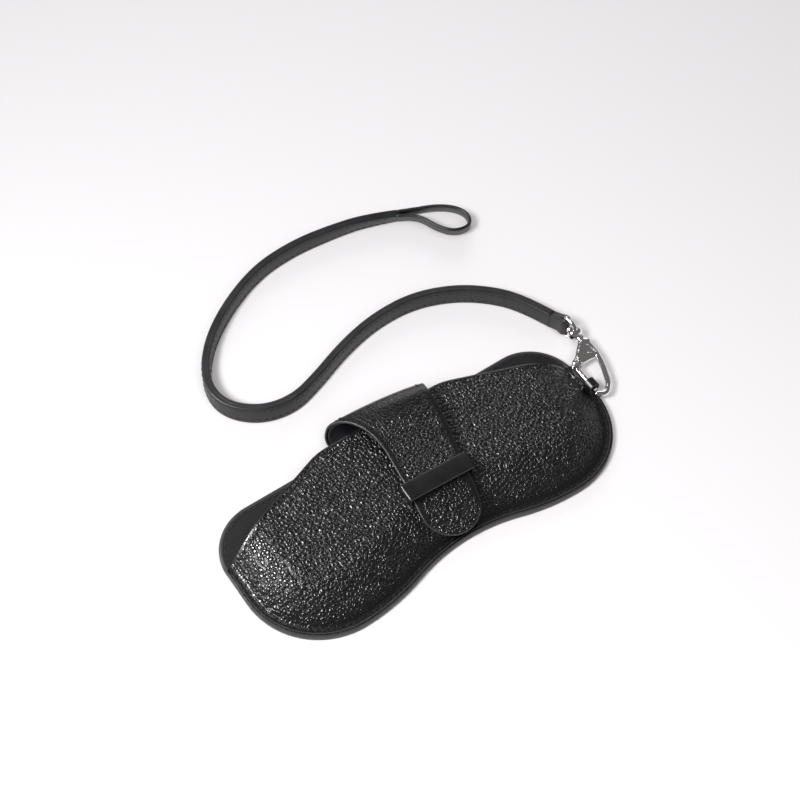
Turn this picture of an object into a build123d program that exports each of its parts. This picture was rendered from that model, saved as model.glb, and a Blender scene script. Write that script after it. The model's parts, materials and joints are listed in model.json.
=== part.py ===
"""Moulded leather slip case with a tuck-in flap, a keeper band, a swivel snap hook and a wrist strap.

Units are millimetres. The case lies on its back: +X runs along its length, +Y points to its mouth and
+Z points up. The origin is on the table, under the middle of the back panel.
"""
from build123d import *
from math import acos, degrees, hypot, pi, radians, sin, tan
import os

# ---------------------------------------------------------------- driving dimensions
CASE_HALF_LENGTH = 84.0
BACK_TOP_Y = 32.0                 # top edge of the back panel
LOBE_BOTTOM_Y = -36.0             # lowest point of each lobe
WAIST_BOTTOM_Y = -28.0            # the waist between the lobes
WAIST_RADIUS = 80.0
LOBE_RADIUS = 90.0
BACK_CORNER_RADIUS = 20.5

LEATHER = 1.4                     # body leather
STIFFENER = 0.5
BACK_LINING = 0.5
FRONT_LINING = 0.4
BACK_STACK = LEATHER + STIFFENER + BACK_LINING
FLANGE_TOP = BACK_STACK + FRONT_LINING + LEATHER

FLANGE_WIDTH = 3.5                # flat sewn rim outside the moulded dome
DOME_WIDTH = 18.5                 # plan distance in which the dome reaches its full height
DOME_HEIGHT = 8.8
DOME_POWER = 0.8
DOME_STEPS = 7

MOUTH_TOP_Y = 31.5                # straight middle part of the front panel's mouth edge
MOUTH_TOP_HALF = 30.0
MOUTH_SLOPE = 0.364               # the mouth edge falls away towards both ends
MOUTH_CORNER_RADIUS = 25.0
OPEN_TOP_Y = 50.0                 # above every mouth line

EDGE_PAINT = 0.35
STITCH_LENGTH = 2.1
STITCH_PITCH = 3.0
STITCH_WIDTH = 0.55
STITCH_HEIGHT = 0.35
THREAD_LIFT = 0.06                # keeps a thread clear of the leather under it
RIM_STITCH_INSET = 2.0
RIM_STITCH_TOP_Y = 10.0
MOUTH_STITCH_INSET = 2.4

FLAP_CENTRE = (8.3, 31.5)         # where the flap's centreline crosses the mouth edge
FLAP_YAW = -10.0                  # the flap is sewn on slightly askew
FLAP_LEATHER = 1.2
FLAP_LINING = 0.6
FLAP_ROOT_WIDTH = 36.0
FLAP_FOLD_WIDTH = 31.0
TONGUE_WIDTH = 24.0
TONGUE_TIP_RADIUS = 11.0
FLAP_ROOT_DEPTH = 12.0            # how far the flap is sewn in under the mouth
FLAP_SPLIT_Y = -33.2              # the tongue starts just above the keeper band
HINGE_Y = 4.2
HINGE_Z = 3.0
HINGE_GAP = 0.3
BEND_TOP_Z = 8.2                  # below this the leather behind the mouth bends as the flap opens
BEND_GAP = 0.1
FLAP_REACH = 60.0                 # beyond every point of the flap
FLAP_TAPER = (-41.2, -6.0)        # here the flap widens from the tongue's width to the fold's
FLAP_FLARE = (4.0, 14.0)          # behind the fold it widens to its sewn root
FLAP_STITCH_INSET = 2.2
FLAP_STITCH_START = 16.0          # along the flap's side view, from the end of the sewn root
FLAP_STITCH_END = 29.0            # before the tongue's tip
ROOT_STITCH_ROWS = (-10.2, -2.5)
# side view of the line between the flap's leather and its lining: (y, z, corner radius)
FLAP_PROFILE = [
    (-FLAP_ROOT_DEPTH, LEATHER + FLAP_LEATHER, 0),
    (5.4, LEATHER + FLAP_LEATHER, 2.6),
    (6.8, 11.0, 6.0),
    (2.2, 18.0, 5.0),
    (-13.0, 15.9, 14.0),
    (-25.0, 14.1, 14.0),
    (-42.5, 14.1, 12.0),
    (-60.5, 9.0, 0),
]

KEEPER_CENTRE = (2.0, -5.6)
KEEPER_YAW = -3.0
KEEPER_LENGTH = 30.0
KEEPER_WIDTH = 7.6
KEEPER_THICK = 1.2
KEEPER_UNDERSIDE = 15.7
KEEPER_LEG_BOTTOM = 9.8
KEEPER_TAB = 5.0
KEEPER_TAB_THICK = 0.7
KEEPER_STITCH = (1.8, 0.5, 0.3)
KEEPER_STITCH_OUT = 1.6           # the stitches lie this far outside the band's ends
KEEPER_STITCH_Y = (-2.6, 0.0, 2.6)

HOOK_Z = 6.6                      # height of the plane that the snap hook lies in
GATE_X = 83.6
TAB_Y = (-3.6, 0.4)
TAB_BORE = 1.4
TAB_OUTER = 2.1
TAB_ROOT_DEPTH = 5.0
TAB_ROOT_HEIGHT = 1.2
GATE_PIVOT = (84.9, 10.0)
GATE_END_Y = -4.4
GATE_RADIUS = 0.95
GATE_EYE_RADIUS = 1.9
GATE_EYE_THICK = 1.2
GATE_LINK = (1.9, 4.2)            # the flat link between the gate's eye and its bar
GATE_LINK_SHIFT = (-0.1, -2.4)
GATE_BAR_GAP = 3.4                # the bar starts this far before the pin
SPRING_RADIUS = 1.3
SPRING_HEIGHT = 0.8
GATE_PIN_RADIUS = 0.6
RUNNING_CLEARANCE = 0.05
EYE_SLOT = 2.3
HOOK_ARM_RADIUS = 1.25
BOSS_RADIUS = 2.5                 # the round boss that the gate's pin passes through
BOSS_SHIFT = 0.3
SHOULDER_RADIUS = 1.7
BRANCH_RADIUS = 1.6
BRIDGE_RADIUS = 1.15
BRIDGE_END = (95.3, 9.6)
EYE_SLOT_SIZE = (6.6, 7.6)
EYE_SLOT_SHIFT = (-0.9, -1.2)
PIN_LENGTH = 4.4
PALM_THICK = 2.6                  # the web that fills the space between boss, neck and arm
HOOK_ARM = [(95.9, 16.8), (95.5, 9.4), (93.4, 2.4), (90.4, -4.4), (86.2, -8.4), (82.9, -6.4)]
HOOK_ARM_CORNERS = [20.0, 16.0, 8.0, 2.4]
HOOK_NECK = (94.6, 19.8)
HOOK_CROWN = (94.4, 18.2)
SWIVEL_DIRECTION = (-0.099, 1.0)
COLLAR_RADIUS = 1.9
COLLAR_START = -1.2               # along the swivel's axis, from the neck
COLLAR_END = 0.4
BELL_START = 0.5
BELL_RADIUS = 3.5
BELL_LENGTH = 5.0
BELL_ROUND = 2.4
STEM_RADIUS = 0.85
STEM_START = -2.2
STEM_HEAD_RADIUS = 1.5
STEM_HEAD_THICK = 0.7
STEM_HEAD_GAP = 0.05

D_RING_WIRE = 0.8
D_RING_HALF_HEIGHT = 5.3         # centre of the wire, above and below the hook's plane
D_RING_FOOT = 3.0                 # from the neck, where the ring grows out of the bell
D_RING_SHOULDER = 5.4
D_RING_BAR = 9.245                # from the neck to the bar that holds the strap
D_RING_CORNERS = [1.2, 1.6, 0.9, 0.9, 1.6, 1.2]

STRAP_WIDTH = 8.6
STRAP_LAYER = 1.7
STRAP_FLOOR_GAP = 0.1
STRAP_SEAM_INSET = 1.7
STRAP_THREAD = 0.2
# the strap stands on its edge; its route in plan, from the ring to where the end loop opens
STRAP_ROUTE = [
    (92.4, 35.6), (87.2, 49.5), (78.2, 61.2), (65.0, 71.2), (47.5, 77.4), (28.0, 77.2), (9.0, 72.3),
    (-8.5, 65.0), (-22.5, 60.6), (-37.0, 63.8), (-47.6, 75.0), (-47.6, 89.5), (-37.5, 104.8),
    (-21.0, 118.0), (0.5, 128.6), (20.5, 131.4), (40.0, 130.2), (58.0, 127.6), (73.5, 121.6),
]
# one strip runs on from there round the end loop and comes back
LOOP_ROUTE = [
    (73.5, 121.6), (81.5, 119.2), (90.0, 115.8), (97.0, 110.2), (97.8, 101.6), (91.2, 97.2),
    (84.6, 100.4), (80.6, 107.6), (76.4, 113.6), (71.6, 118.6),
]


# ---------------------------------------------------------------- plan outlines
WAIST_CENTRE = (0.0, WAIST_BOTTOM_Y - WAIST_RADIUS)
LOBE_RISE = LOBE_BOTTOM_Y + LOBE_RADIUS - WAIST_CENTRE[1]
# degrees from the middle to where the waist's arc turns into the lobe's
WAIST_ANGLE = degrees(acos(LOBE_RISE / (WAIST_RADIUS + LOBE_RADIUS)))
LOBE_CENTRE = ((WAIST_RADIUS + LOBE_RADIUS) * sin(radians(WAIST_ANGLE)), LOBE_BOTTOM_Y + LOBE_RADIUS)
END_RADIUS = CASE_HALF_LENGTH - LOBE_CENTRE[0]
END_CENTRE = (LOBE_CENTRE[0], LOBE_BOTTOM_Y + END_RADIUS)


def mirror_x(point):
    """The same point on the left half."""
    return (-point[0], point[1])


def lower_edges(inset):
    """Left end, lobe, waist, lobe and right end of the outline, moved inwards by inset."""
    lobe = LOBE_RADIUS - inset
    end = END_RADIUS - inset
    return [
        CenterArc(mirror_x(END_CENTRE), end, 180, 90),
        CenterArc(mirror_x(LOBE_CENTRE), lobe, 270, WAIST_ANGLE),
        CenterArc(WAIST_CENTRE, WAIST_RADIUS + inset, 90 + WAIST_ANGLE, -2 * WAIST_ANGLE),
        CenterArc(LOBE_CENTRE, lobe, 270 - WAIST_ANGLE, WAIST_ANGLE),
        CenterArc(END_CENTRE, end, 270, 90),
    ]


def back_outline(inset):
    """Closed outline of the back panel, with rounded top corners."""
    side = CASE_HALF_LENGTH - inset
    corner = (CASE_HALF_LENGTH - BACK_CORNER_RADIUS, BACK_TOP_Y - BACK_CORNER_RADIUS)
    radius = BACK_CORNER_RADIUS - inset
    top = BACK_TOP_Y - inset
    edges = lower_edges(inset) + [
        Line((side, END_CENTRE[1]), (side, corner[1])),
        CenterArc(corner, radius, 0, 90),
        Line((corner[0], top), (-corner[0], top)),
        CenterArc(mirror_x(corner), radius, 90, 90),
        Line((-side, corner[1]), (-side, END_CENTRE[1])),
    ]
    return make_face(Wire(edges))


def front_outline(inset):
    """Closed outline of the front panel before its mouth is cut, open-sided above the ends."""
    side = CASE_HALF_LENGTH - inset
    edges = lower_edges(inset) + [
        Line((side, END_CENTRE[1]), (side, OPEN_TOP_Y)),
        Line((side, OPEN_TOP_Y), (-side, OPEN_TOP_Y)),
        Line((-side, OPEN_TOP_Y), (-side, END_CENTRE[1])),
    ]
    return make_face(Wire(edges))


def below_mouth(drop=0.0):
    """Everything that the mouth edge, lowered by drop, leaves of the front panel."""
    reach = 100.0
    end_y = MOUTH_TOP_Y - MOUTH_SLOPE * (reach - MOUTH_TOP_HALF) - drop
    top = MOUTH_TOP_Y - drop
    points = [
        (-reach, -60), (reach, -60), (reach, end_y), (MOUTH_TOP_HALF, top), (-MOUTH_TOP_HALF, top),
        (-reach, end_y),
    ]
    face = make_face(Polyline(*points, close=True))
    corners = [v for v in face.vertices() if abs(abs(v.X) - MOUTH_TOP_HALF) < 1]
    return extrude(fillet(corners, MOUTH_CORNER_RADIUS), 60)


# ---------------------------------------------------------------- moulded dome
def dome_height(inset):
    """Height of the front panel's outer face at a plan distance from the outline."""
    part = min(max((inset - FLANGE_WIDTH) / DOME_WIDTH, 0.0), 1.0)
    return FLANGE_TOP + DOME_HEIGHT * sin(pi / 2 * part) ** DOME_POWER


def inset_at(x, y):
    """Plan distance from a point inside the front panel to its outline."""
    x = abs(x)
    if x > END_CENTRE[0]:
        if y > END_CENTRE[1]:
            return CASE_HALF_LENGTH - x
        return END_RADIUS - hypot(x - END_CENTRE[0], y - END_CENTRE[1])
    if x < tan(radians(WAIST_ANGLE)) * (y - WAIST_CENTRE[1]):
        return hypot(x, y - WAIST_CENTRE[1]) - WAIST_RADIUS
    return LOBE_RADIUS - hypot(x - LOBE_CENTRE[0], y - LOBE_CENTRE[1])


def front_surface(x, y):
    """A point of the front panel's outer face."""
    return Vector(x, y, dome_height(inset_at(x, y)))


def dome_solid(shrink, bottom):
    """The moulded dome, or the smaller one that lies shrink inside it."""
    levels = []
    for step in range(DOME_STEPS + 1):
        part = (step / DOME_STEPS) ** 1.6
        inset = FLANGE_WIDTH + DOME_WIDTH * part
        levels.append((inset + shrink, dome_height(inset) - shrink))
    levels[0] = (FLANGE_WIDTH + shrink, bottom)
    sections = [Pos(0, 0, z) * front_outline(inset) for inset, z in levels]
    return loft(sections, ruled=True)


def front_layer(outer, inner, bottom):
    """One layer of the front: a flat rim and a dome between two depths, cut at the mouth."""
    rim = extrude(Pos(0, 0, bottom) * front_outline(0), FLANGE_TOP - outer - bottom)
    shell = rim + dome_solid(outer, bottom) - dome_solid(inner, bottom - 0.01)
    return shell & below_mouth()


# ---------------------------------------------------------------- stitches
def stitch(centre, direction, normal):
    """One short thread bridge that lies on a surface."""
    plane = Plane(origin=centre, x_dir=direction, z_dir=normal)
    lift = Pos(0, 0, STITCH_HEIGHT / 2)
    return plane * lift * Box(STITCH_LENGTH, STITCH_WIDTH, STITCH_HEIGHT)


def stitch_row(point_at, normal_at, length):
    """Stitches at an even pitch along a curve given by its arc length."""
    count = int(length / STITCH_PITCH)
    margin = (length - count * STITCH_PITCH) / 2
    row = []
    for number in range(count):
        place = margin + (number + 0.5) * STITCH_PITCH
        before = point_at(place - STITCH_LENGTH / 2)
        after = point_at(place + STITCH_LENGTH / 2)
        row.append(stitch((before + after) / 2, after - before, normal_at(place)))
    return Compound(row)


# ---------------------------------------------------------------- flap
FLAP_PLACE = Pos(FLAP_CENTRE[0], FLAP_CENTRE[1], 0) * Rot(0, 0, FLAP_YAW)


def flap_path():
    """Side view of the flap: the line between its leather and its lining, in the plane x = 0."""
    points = [(0, y, z) for y, z, _ in FLAP_PROFILE]
    radii = [radius for _, _, radius in FLAP_PROFILE[1:-1]]
    return FilletPolyline(*points, radius=radii)


def flap_plan():
    """Plan of the whole flap, seen from above in its own frame."""
    tip_y = FLAP_PROFILE[-1][0] + 0.2
    half_tongue = TONGUE_WIDTH / 2
    half_fold = FLAP_FOLD_WIDTH / 2
    half_root = FLAP_ROOT_WIDTH / 2
    shoulder = tip_y + TONGUE_TIP_RADIUS
    right = [
        (half_tongue - 1.0, shoulder), (half_tongue, FLAP_TAPER[0]), (half_fold, FLAP_TAPER[1]),
        (half_root, FLAP_FLARE[0]), (half_root, FLAP_FLARE[1]),
    ]
    left = [mirror_x(p) for p in reversed(right)]
    tip = ThreePointArc(left[-1], (0, tip_y), right[0])
    body = Polyline(*(right + left))
    return make_face(Wire([tip] + body.edges()))


def flap_ribbon(low, high):
    """The flap between two depths from its leather-to-lining line, outwards positive."""
    path = flap_path()
    width = FLAP_ROOT_WIDTH + 10
    start = path @ 0
    # at the root the leather is below the line, so outwards is down there
    profile = Plane(origin=start, x_dir=(1, 0, 0), z_dir=path % 0)
    middle = (low + high) / 2
    outward = -1 if profile.y_dir.Z > 0 else 1
    section = profile * Pos(0, outward * middle) * Rectangle(width, high - low)
    ribbon = sweep(section, path=path)
    return ribbon & extrude(flap_plan(), FLAP_REACH)


def flap_slab(y_high, z_high):
    """A block of the flap's own frame: everything below y_high and z_high."""
    reach = 100.0
    return Pos(0, y_high - reach / 2, z_high - reach / 2) * Box(reach, reach, reach)


def split_flap(ribbon):
    """The sewn root, the strip that bends, the free flap and the tongue of a ribbon."""
    low = flap_slab(FLAP_REACH, BEND_TOP_Z)
    root = ribbon & low & flap_slab(HINGE_Y - HINGE_GAP, BEND_TOP_Z)
    bend = (ribbon & low) - flap_slab(HINGE_Y, BEND_TOP_Z)
    tongue_area = flap_slab(FLAP_SPLIT_Y, FLAP_REACH)
    tongue = ribbon & tongue_area
    free = ribbon - flap_slab(FLAP_REACH, BEND_TOP_Z + BEND_GAP) - tongue_area
    return root, bend, free.solids().sort_by(Axis.Y)[-1], tongue


def flap_edge_row(sign, first, last):
    """Stitches along one long edge of the flap, from one height of its path to another."""
    path = flap_path()
    length = path.length

    def half_width(y):
        share = min(max((y - FLAP_TAPER[0]) / (FLAP_TAPER[1] - FLAP_TAPER[0]), 0), 1)
        return TONGUE_WIDTH / 2 + share * (FLAP_FOLD_WIDTH - TONGUE_WIDTH) / 2

    def outward(place):
        tangent = path % (place / length)
        return Vector(0, tangent.Z, -tangent.Y)

    def point(place):
        base = path @ (place / length)
        side = sign * (half_width(base.Y) - FLAP_STITCH_INSET)
        return Vector(side, base.Y, base.Z) + outward(place) * (FLAP_LEATHER + 0.16)

    return stitch_row(lambda s: point(first + s), lambda s: outward(first + s), last - first)


# ---------------------------------------------------------------- build
def case_nodes():
    """Back, front, rim and their threads."""
    nodes = {}
    nodes["back_panel"] = extrude(back_outline(0), LEATHER)
    cut_size = 20.0
    root_box = Box(FLAP_ROOT_WIDTH + 0.6, cut_size, cut_size)
    root_cut = FLAP_PLACE * Pos(0, cut_size / 2 - FLAP_ROOT_DEPTH, LEATHER + cut_size / 2) * root_box
    stiffener = extrude(Pos(0, 0, LEATHER) * back_outline(FLANGE_WIDTH), STIFFENER)
    nodes["back_stiffener"] = stiffener - root_cut
    lining = extrude(Pos(0, 0, LEATHER) * back_outline(0), STIFFENER + BACK_LINING) - stiffener
    nodes["back_lining"] = lining - root_cut

    tab_root = hook_tab_root()
    nodes["front_panel"] = front_layer(0, LEATHER, BACK_STACK + FRONT_LINING) - tab_root
    nodes["front_lining"] = front_layer(LEATHER, LEATHER + FRONT_LINING, BACK_STACK) - tab_root

    band = back_outline(-EDGE_PAINT) - back_outline(0)
    low_band = extrude(Pos(0, 0, 0.15) * band, BACK_STACK - 0.3)
    high_band = extrude(Pos(0, 0, 0.15) * band, FLANGE_TOP - 0.3) & below_mouth()
    nodes["rim_edge_paint"] = low_band + high_band - tab_root - root_cut

    side = CASE_HALF_LENGTH - RIM_STITCH_INSET
    left = Line((-side, RIM_STITCH_TOP_Y), (-side, END_CENTRE[1]))
    right = Line((side, END_CENTRE[1]), (side, RIM_STITCH_TOP_Y))
    rim = Wire([left] + lower_edges(RIM_STITCH_INSET) + [right])

    def rim_point(place):
        return rim @ (place / rim.length) + Vector(0, 0, FLANGE_TOP)

    nodes["rim_stitching"] = stitch_row(rim_point, lambda place: Vector(0, 0, 1), rim.length)
    nodes["mouth_stitching"] = mouth_stitching()
    return nodes


def mouth_stitching():
    """A row of stitches just inside the mouth edge, over the dome."""
    reach = CASE_HALF_LENGTH - 5.0
    length = 2 * reach

    def point(place):
        x = place - reach
        y = MOUTH_TOP_Y - MOUTH_STITCH_INSET - MOUTH_SLOPE * max(abs(x) - MOUTH_TOP_HALF, 0)
        return front_surface(x, y) + Vector(0, 0, THREAD_LIFT)

    def normal(place):
        here = point(place)
        step = 0.5
        along_x = front_surface(here.X + step, here.Y) - front_surface(here.X - step, here.Y)
        along_y = front_surface(here.X, here.Y + step) - front_surface(here.X, here.Y - step)
        return along_x.cross(along_y)

    return stitch_row(point, normal, length)


def flap_nodes():
    """The closing flap: sewn root, free flap and tongue, each with leather and lining."""
    nodes = {}
    names = ("flap_root", "flap_bend", "flap", "tongue")
    for name, piece in zip(names, split_flap(flap_ribbon(0, FLAP_LEATHER))):
        nodes[f"{name}_leather"] = FLAP_PLACE * piece
    for name, piece in zip(names, split_flap(flap_ribbon(-FLAP_LINING, 0))):
        nodes[f"{name}_lining"] = FLAP_PLACE * piece

    path = flap_path()
    start = FLAP_ROOT_DEPTH + FLAP_STITCH_START
    end = path.length - FLAP_STITCH_END
    rows = [flap_edge_row(sign, start, end).solids() for sign in (-1, 1)]
    nodes["flap_stitching"] = FLAP_PLACE * Compound(rows[0] + rows[1])

    top = LEATHER + FLAP_LEATHER + FLAP_LINING
    box_rows = []
    for y in ROOT_STITCH_ROWS:
        half = FLAP_ROOT_WIDTH / 2 - FLAP_STITCH_INSET
        row = stitch_row(lambda s: Vector(s - half, y, top), lambda s: Vector(0, 0, 1), 2 * half)
        box_rows += row.solids()
    nodes["flap_root_stitching"] = FLAP_PLACE * Compound(box_rows)
    return nodes


def keeper_nodes(nodes):
    """The band that holds the tongue; its ends pass through slits and turn in under the lining."""
    place = Pos(KEEPER_CENTRE[0], KEEPER_CENTRE[1], 0) * Rot(0, 0, KEEPER_YAW)
    half = KEEPER_LENGTH / 2
    top = KEEPER_UNDERSIDE + KEEPER_THICK
    band = Pos(0, 0, top - KEEPER_THICK / 2) * Box(KEEPER_LENGTH, KEEPER_WIDTH, KEEPER_THICK)
    legs = []
    tabs = []
    for side in (-1, 1):
        leg_height = top - KEEPER_LEG_BOTTOM
        leg_place = Pos(side * (half - KEEPER_THICK / 2), 0, top - leg_height / 2)
        legs.append(leg_place * Box(KEEPER_THICK, KEEPER_WIDTH, leg_height))
        tab_place = Pos(side * (half - KEEPER_TAB / 2), 0, KEEPER_LEG_BOTTOM + KEEPER_TAB_THICK / 2)
        tabs.append(tab_place * Box(KEEPER_TAB, KEEPER_WIDTH, KEEPER_TAB_THICK))
    keeper = band + legs + tabs
    rounded = keeper.edges().filter_by(Axis.Y).group_by(Axis.Z)[-1]
    nodes["keeper_band"] = place * fillet(rounded, 0.8)
    slits = place * Compound(legs)
    nodes["front_panel"] = nodes["front_panel"] - slits
    nodes["front_lining"] = nodes["front_lining"] - slits

    ends = []
    for side in (-1, 1):
        x = side * (half + KEEPER_STITCH_OUT)
        for y in KEEPER_STITCH_Y:
            world = (place * Pos(x, y, 0)).position
            base = front_surface(world.X, world.Y) + Vector(0, 0, THREAD_LIFT + KEEPER_STITCH[2] / 2)
            ends.append(Pos(base) * Rot(0, 0, 90 + KEEPER_YAW) * Box(*KEEPER_STITCH))
    nodes["keeper_stitching"] = Compound(ends)
    return nodes


# ---------------------------------------------------------------- snap hook
def hook_tab_root():
    """The part of the hook's leather loop that is sewn into the rim."""
    y_mid = sum(TAB_Y) / 2
    width = TAB_Y[1] - TAB_Y[0]
    length = TAB_ROOT_DEPTH + EDGE_PAINT + 0.2
    x_mid = CASE_HALF_LENGTH - TAB_ROOT_DEPTH + length / 2
    return Pos(x_mid, y_mid, BACK_STACK + TAB_ROOT_HEIGHT / 2) * Box(length, width, TAB_ROOT_HEIGHT)


def along_y(x, z, y_low, y_high, radius):
    """A cylinder along Y."""
    middle = Pos(x, (y_low + y_high) / 2, z)
    return middle * Rot(90, 0, 0) * Cylinder(radius, y_high - y_low)


def rod(start, end, radius):
    """A straight round rod in the hook's plane, with rounded ends."""
    first = Vector(start[0], start[1], HOOK_Z)
    last = Vector(end[0], end[1], HOOK_Z)
    bar = extrude(Plane(origin=first, z_dir=last - first) * Circle(radius), (last - first).length)
    return bar + Pos(first) * Sphere(radius) + Pos(last) * Sphere(radius)


def on_swivel(distance, height=0.0):
    """A point at a distance along the swivel's axis from the hook's neck, raised by height."""
    direction = Vector(SWIVEL_DIRECTION[0], SWIVEL_DIRECTION[1], 0).normalized()
    return Vector(HOOK_NECK[0], HOOK_NECK[1], HOOK_Z + height) + direction * distance


def swivel_rod(start, end, radius):
    """A round bar along the swivel's axis."""
    plane = Plane(origin=on_swivel(start), z_dir=on_swivel(end) - on_swivel(start))
    return extrude(plane * Circle(radius), end - start)


def hook_nodes():
    """The leather loop on the rim, the snap hook, its gate and the swivel's stem."""
    nodes = {}
    outer = along_y(GATE_X, HOOK_Z, TAB_Y[0], TAB_Y[1], TAB_OUTER)
    bore = along_y(GATE_X, HOOK_Z, TAB_Y[0] - 1, TAB_Y[1] + 1, TAB_BORE)
    web_height = HOOK_Z - BACK_STACK
    web_x = CASE_HALF_LENGTH + EDGE_PAINT + 0.1 + TAB_ROOT_HEIGHT / 2
    web_y = sum(TAB_Y) / 2
    web_width = TAB_Y[1] - TAB_Y[0]
    web = Pos(web_x, web_y, BACK_STACK + web_height / 2) * Box(TAB_ROOT_HEIGHT, web_width, web_height)
    nodes["hook_tab"] = hook_tab_root() + (web + outer) - bore

    path = FilletPolyline(*[(x, y, HOOK_Z) for x, y in HOOK_ARM], radius=HOOK_ARM_CORNERS)
    arm = sweep(Plane(origin=path @ 0, z_dir=path % 0) * Circle(HOOK_ARM_RADIUS), path=path)
    nose = Pos(path @ 1) * Sphere(HOOK_ARM_RADIUS)
    px, py = GATE_PIVOT
    boss = Pos(px + BOSS_SHIFT, py, HOOK_Z) * Sphere(BOSS_RADIUS)
    shoulder = Pos(path @ 0) * Sphere(SHOULDER_RADIUS)
    branch = rod((px + BOSS_SHIFT, py), HOOK_CROWN, BRANCH_RADIUS)
    web = rod(HOOK_ARM[0], HOOK_CROWN, BRANCH_RADIUS)
    bridge = rod((px + BOSS_SHIFT, py), BRIDGE_END, BRIDGE_RADIUS)
    corners = [(px + BOSS_SHIFT, py, HOOK_Z), (*HOOK_CROWN, HOOK_Z), (*BRIDGE_END, HOOK_Z)]
    palm = extrude(make_face(Polyline(*corners, close=True)), PALM_THICK / 2, both=True)
    slot_place = Pos(px + EYE_SLOT_SHIFT[0], py + EYE_SLOT_SHIFT[1], HOOK_Z)
    slot = slot_place * Box(EYE_SLOT_SIZE[0], EYE_SLOT_SIZE[1], EYE_SLOT)
    pin_hole = Pos(px, py, HOOK_Z) * Cylinder(GATE_PIN_RADIUS, 2 * BOSS_RADIUS + 2)
    collar = swivel_rod(COLLAR_START, COLLAR_END, COLLAR_RADIUS)
    stem_end = BELL_START + BELL_LENGTH + STEM_HEAD_GAP
    stem = swivel_rod(STEM_START, stem_end, STEM_RADIUS)
    hook = arm + nose + boss + shoulder + branch + web + bridge + palm + collar
    nodes["hook_body"] = hook - slot - pin_hole - stem
    nodes["swivel_stem"] = stem + swivel_rod(stem_end, stem_end + STEM_HEAD_THICK, STEM_HEAD_RADIUS)

    eye_z = HOOK_Z - EYE_SLOT / 2 + 0.1
    eye = Pos(px, py, eye_z + GATE_EYE_THICK / 2) * Cylinder(GATE_EYE_RADIUS, GATE_EYE_THICK)
    eye_bore = Pos(px, py, HOOK_Z) * Cylinder(GATE_PIN_RADIUS + RUNNING_CLEARANCE, 6)
    bar = along_y(GATE_X, HOOK_Z, GATE_END_Y, py - GATE_BAR_GAP, GATE_RADIUS)
    link_x = (px + GATE_X) / 2 + GATE_LINK_SHIFT[0]
    link_place = Pos(link_x, py + GATE_LINK_SHIFT[1], eye_z + GATE_EYE_THICK / 2)
    link = link_place * Box(GATE_LINK[0], GATE_LINK[1], GATE_EYE_THICK)
    nodes["gate"] = eye + link + bar - eye_bore
    nodes["gate_pin"] = Pos(px, py, HOOK_Z) * Cylinder(GATE_PIN_RADIUS, PIN_LENGTH)
    sleeve = Cylinder(SPRING_RADIUS, SPRING_HEIGHT)
    sleeve -= Cylinder(GATE_PIN_RADIUS + 2 * RUNNING_CLEARANCE, SPRING_HEIGHT)
    spring_z = eye_z + GATE_EYE_THICK + 2 * RUNNING_CLEARANCE + SPRING_HEIGHT / 2
    nodes["gate_spring"] = Pos(px, py, spring_z) * sleeve
    return nodes


# ---------------------------------------------------------------- ring and strap
def ring_nodes():
    """The swivel's bell with the upright D-shaped ring that carries the strap."""
    bell_end = BELL_START + BELL_LENGTH
    bell = swivel_rod(BELL_START, bell_end, BELL_RADIUS)
    bell = fillet(bell.edges(), BELL_ROUND)
    bore = swivel_rod(BELL_START, bell_end, STEM_RADIUS + RUNNING_CLEARANCE)

    upper = [(D_RING_FOOT, 1.5), (D_RING_FOOT, 3.9), (D_RING_SHOULDER, D_RING_HALF_HEIGHT)]
    upper.append((D_RING_BAR, D_RING_HALF_HEIGHT))
    lower = [(distance, -height) for distance, height in reversed(upper)]
    points = [on_swivel(distance, height) for distance, height in upper + lower]
    path = FilletPolyline(*points, radius=D_RING_CORNERS)
    wire = sweep(Plane(origin=path @ 0, z_dir=path % 0) * Circle(D_RING_WIRE), path=path)
    return {"swivel_eye": bell + wire - bore}


def strip(path, low, high, width, z_middle):
    """A flat strip standing on its edge along a level path, between two sideways offsets."""
    start = path @ 0
    section_plane = Plane(origin=(start.X, start.Y, z_middle), x_dir=(0, 0, 1), z_dir=path % 0)
    section = section_plane * Pos(0, (low + high) / 2) * Rectangle(width, high - low)
    return sweep(section, path=path)


def route_path(route, z):
    """Straight runs joined by tangent arcs; each arc is as large as its two runs allow."""
    points = [Vector(x, y, z) for x, y in route]
    radii = []
    for before, corner, after in zip(points, points[1:], points[2:]):
        turn = radians((corner - before).get_angle(after - corner))
        shorter = min((corner - before).length, (after - corner).length)
        radii.append(0.45 * shorter / tan(turn / 2))
    print("arc radii:", ", ".join(f"{radius:.1f}" for radius in radii))
    return FilletPolyline(*points, radius=radii)


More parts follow.
